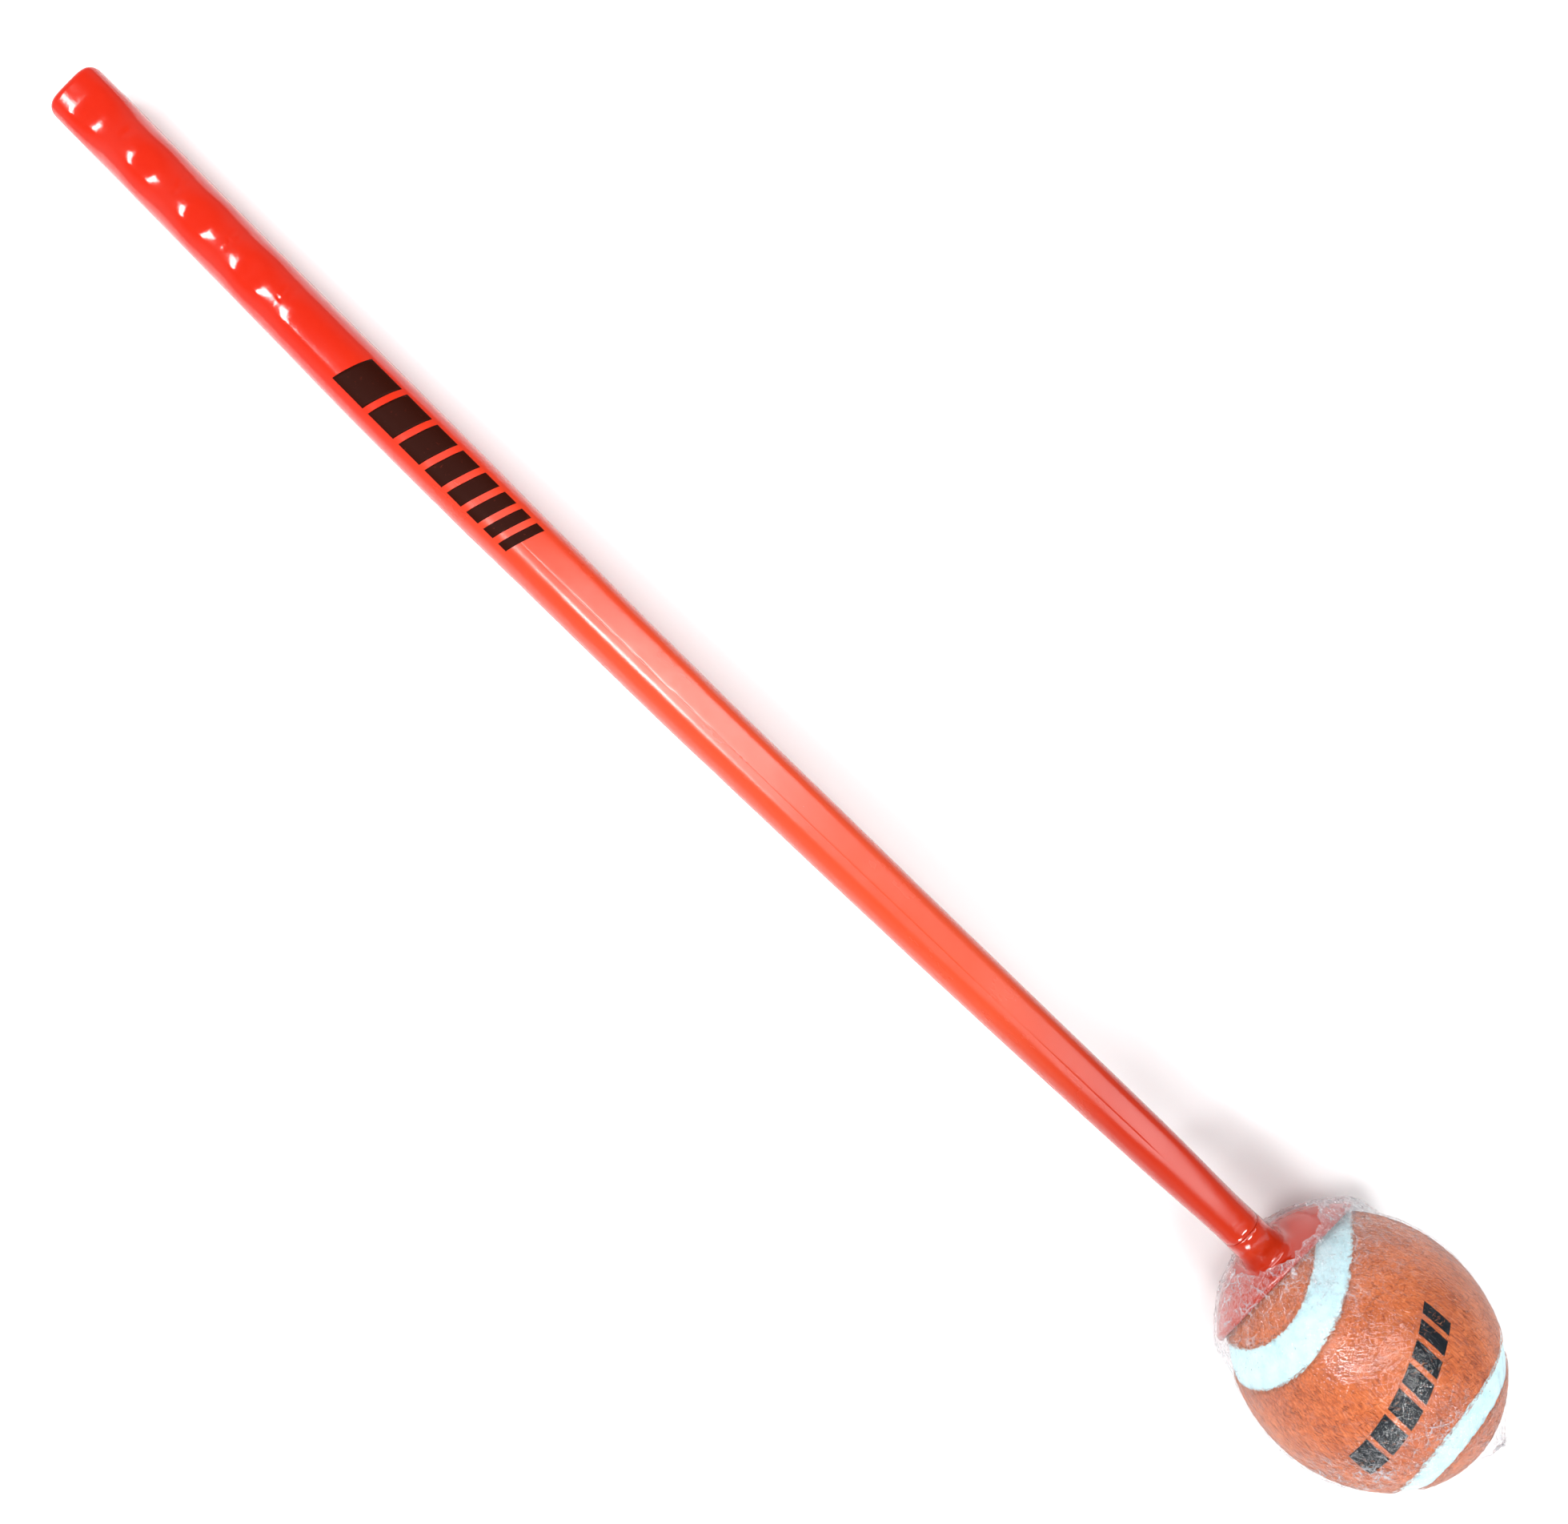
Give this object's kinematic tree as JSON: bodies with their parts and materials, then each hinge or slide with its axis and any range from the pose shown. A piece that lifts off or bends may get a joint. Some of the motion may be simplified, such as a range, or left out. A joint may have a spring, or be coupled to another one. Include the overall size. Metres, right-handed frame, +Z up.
{
  "type": "dog ball throwing stick",
  "caption": "Orange moulded throwing stick with a finger grip and an end cup that holds a felt-covered rubber ball, wrapped with clear stretch film.",
  "frame": {"origin": "on the surface that the stick lies on, under the middle of the bounding box", "axes": "+X along the stick from the butt to the ball, +Z up out of the surface, the cup opening upwards and away from the butt"},
  "size_m": [0.5015, 0.0657, 0.0682],
  "materials": {
    "orange_plastic": "glossy moulded polyethylene, slightly wavy",
    "clear_film": "clear, creased stretch film",
    "felt": "short napped felt, burnt orange",
    "seam": "smooth pale seam compound",
    "core_rubber": "matte moulded rubber",
    "cement": "dried rubber cement"
  },
  "bodies": {
    "launcher": {"butt_plug": "orange_plastic", "shaft": "orange_plastic", "cup_head": "orange_plastic", "film_wrap": "clear_film"},
    "ball": {"ball_core_half_a": "core_rubber", "ball_core_half_b": "core_rubber", "ball_core_cement": "cement", "felt_panel_a": "felt", "felt_panel_b": "felt", "ball_seam_band": "seam"}
  },
  "joints": [
    {"name": "ball_release", "type": "slide", "parent": "launcher", "child": "ball", "axis": [0.8746, 0, 0.4848], "range_m": [0, 0.075], "deforming": ["film_wrap"]}
  ]
}
